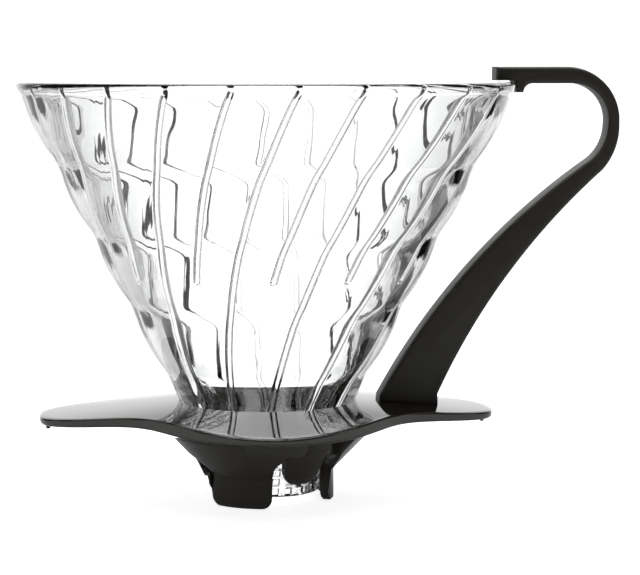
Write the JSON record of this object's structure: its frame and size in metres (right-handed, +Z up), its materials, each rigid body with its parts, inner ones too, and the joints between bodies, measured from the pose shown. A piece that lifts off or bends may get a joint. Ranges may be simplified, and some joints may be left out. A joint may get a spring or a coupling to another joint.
{
  "type": "pour over dripper",
  "caption": "Ribbed glass coffee cone in a winged plastic base, clamped from below by a tabbed screw ring, with a strap handle that hooks over the rim.",
  "frame": {"origin": "centre of the lower mouth of the glass outlet", "axes": "+Z up along the cone's axis, +X towards the handle, -Y towards the front; the outlet pours along -Z"},
  "size_m": [0.1414, 0.116, 0.1016],
  "materials": {
    "clear_glass": "clear pressed heat-resistant glass, polished",
    "black_plastic": "warm black moulded plastic, high gloss",
    "handle_plastic": "warm black moulded plastic, satin sides",
    "screw_steel": "stainless, turned head",
    "silicone": "translucent grey silicone, matte",
    "ring_plastic": "warm black moulded plastic, semi-gloss"
  },
  "bodies": {
    "holder": {"base_plate": "black_plastic", "glass_cone": "clear_glass", "handle": "handle_plastic", "handle_screws": "screw_steel"},
    "seal": {"seal_ring": "silicone"},
    "ring": {"lock_ring": "ring_plastic"}
  },
  "joints": [
    {"name": "seal_drop", "type": "slide", "parent": "holder", "child": "seal", "axis": [0, 0, -1], "range_m": [0, 0.0051]},
    {"name": "ring_turn", "type": "hinge", "parent": "seal", "child": "ring", "pos_m": [0, 0, 0], "axis": [0, 0, -1], "range_deg": [0, 120]}
  ],
  "couplings": [
    {"joint": "seal_drop", "follows": "ring_turn", "m_per_rad": 0.0023873}
  ]
}
